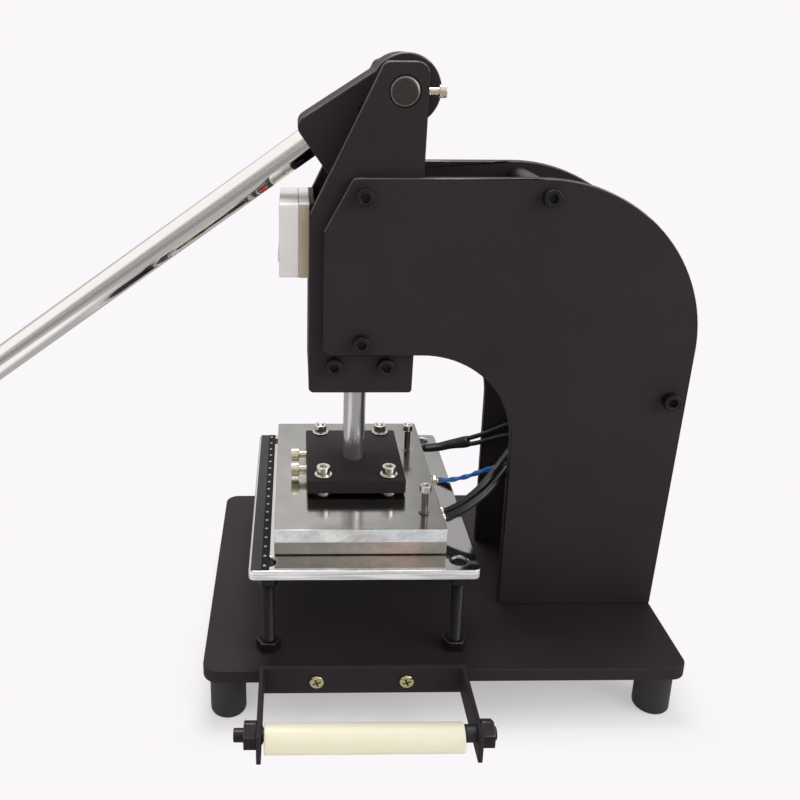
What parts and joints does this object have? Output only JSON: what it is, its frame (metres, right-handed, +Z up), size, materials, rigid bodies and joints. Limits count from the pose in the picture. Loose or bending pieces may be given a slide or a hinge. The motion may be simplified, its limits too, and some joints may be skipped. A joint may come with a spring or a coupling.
{
  "type": "hot foil stamping machine",
  "caption": "Hand-lever hot foil stamping machine: plate gooseneck frame on a footed base, lever-driven ram with heated die plate over a raised table, controller and foil roller.",
  "frame": {"origin": "on the floor under the middle of the machine's bounding box, leads left out", "axes": "+X from the operator's side with the lever grip to the column's back, +Y away from the foil roller, +Z up along the ram"},
  "size_m": [0.52, 0.2586, 0.373],
  "materials": {
    "black_coat": "satin",
    "black_rubber": "matte",
    "black_oxide_steel": "satin",
    "stainless_steel": "satin",
    "bronze": "satin",
    "black_plastic": "matte",
    "cream_plastic": "matte",
    "beige_plastic": "matte",
    "grey_plastic": "satin",
    "dark_window": "gloss",
    "aluminium": "brushed",
    "brass": "satin",
    "ivory_plastic": "matte",
    "chrome": "polished",
    "blue_wire": "satin"
  },
  "bodies": {
    "frame": {"base_plate": "black_coat", "rubber_feet": "black_rubber", "foot_screws": "black_oxide_steel", "side_plate_right": "black_coat", "side_plate_left": "black_coat", "base_screws": "black_oxide_steel", "head_cheek_right": "black_coat", "head_cheek_left": "black_coat", "lower_guide": "black_oxide_steel", "upper_guide": "black_oxide_steel", "ram_bushes": "bronze", "tie_bars": "black_oxide_steel", "frame_screws": "black_oxide_steel", "front_panel": "black_coat", "panel_screws": "black_oxide_steel", "rear_panel": "black_coat", "power_inlet": "black_plastic", "switch_housing": "black_plastic", "terminal_block": "cream_plastic", "controller_back": "beige_plastic", "controller_case": "grey_plastic", "controller_window": "dark_window", "table_plate": "aluminium", "table_legs": "black_oxide_steel", "leg_nuts": "black_oxide_steel", "ruler_strip": "black_plastic", "roller_bracket": "black_coat", "bracket_screws": "brass", "roller_axle": "black_oxide_steel", "axle_nuts": "black_oxide_steel", "axle_spacers": "black_plastic", "pivot_pin": "black_oxide_steel", "pivot_spacers": "black_oxide_steel", "pin_lock_screw": "stainless_steel", "heater_lead_far": "black_rubber", "heater_leads_near": "black_rubber", "thermocouple_wire": "blue_wire"},
    "lever": {"lever_block": "black_coat", "drive_pin": "black_oxide_steel", "lever_rod": "chrome", "lever_grip": "black_rubber"},
    "ram": {"ram_shaft": "chrome", "ram_yoke": "black_oxide_steel", "ram_screw": "black_oxide_steel", "ram_plate": "black_coat", "plate_lock_screws": "brass", "plate_screws": "stainless_steel", "plate_washers": "stainless_steel", "plate_spacers": "stainless_steel", "heater_block": "aluminium", "heater_cartridges": "stainless_steel", "thermocouple": "brass", "die_plate": "aluminium", "die_plate_screws": "stainless_steel"},
    "roller": {"foil_roller": "ivory_plastic"},
    "rocker": {"switch_rocker": "black_plastic"},
    "key_1": {"key_1": "beige_plastic"},
    "key_2": {"key_2": "beige_plastic"},
    "key_3": {"key_3": "beige_plastic"},
    "key_4": {"key_4": "beige_plastic"}
  },
  "joints": [
    {"name": "lever_pivot", "type": "hinge", "parent": "frame", "child": "lever", "pos_m": [0.08556, 0.0273, 0.353], "axis": [0, 1, 0], "range_deg": [0, 60]},
    {"name": "ram_slide", "type": "slide", "parent": "frame", "child": "ram", "axis": [0, 0, 1], "range_m": [0, 0.0226], "deforming": ["heater_lead_far", "heater_leads_near", "thermocouple_wire"]},
    {"name": "roller_spin", "type": "hinge", "parent": "frame", "child": "roller", "pos_m": [0.06281, -0.1202, 0.03085], "axis": [1, 0, 0], "continuous": true},
    {"name": "rocker_tilt", "type": "hinge", "parent": "frame", "child": "rocker", "pos_m": [0.25156, 0.0273, 0.11], "axis": [0, 1, 0], "range_deg": [0, 18]},
    {"name": "key_1_press", "type": "slide", "parent": "frame", "child": "key_1", "axis": [1, 0, 0], "range_m": [0, 0.0006], "stiffness_N_per_m": 300, "springref_m": -0.0006},
    {"name": "key_2_press", "type": "slide", "parent": "frame", "child": "key_2", "axis": [1, 0, 0], "range_m": [0, 0.0006], "stiffness_N_per_m": 300, "springref_m": -0.0006},
    {"name": "key_3_press", "type": "slide", "parent": "frame", "child": "key_3", "axis": [1, 0, 0], "range_m": [0, 0.0006], "stiffness_N_per_m": 300, "springref_m": -0.0006},
    {"name": "key_4_press", "type": "slide", "parent": "frame", "child": "key_4", "axis": [1, 0, 0], "range_m": [0, 0.0006], "stiffness_N_per_m": 300, "springref_m": -0.0006}
  ],
  "couplings": [
    {"joint": "ram_slide", "follows": "lever_pivot", "m_per_rad": 0.02139}
  ]
}
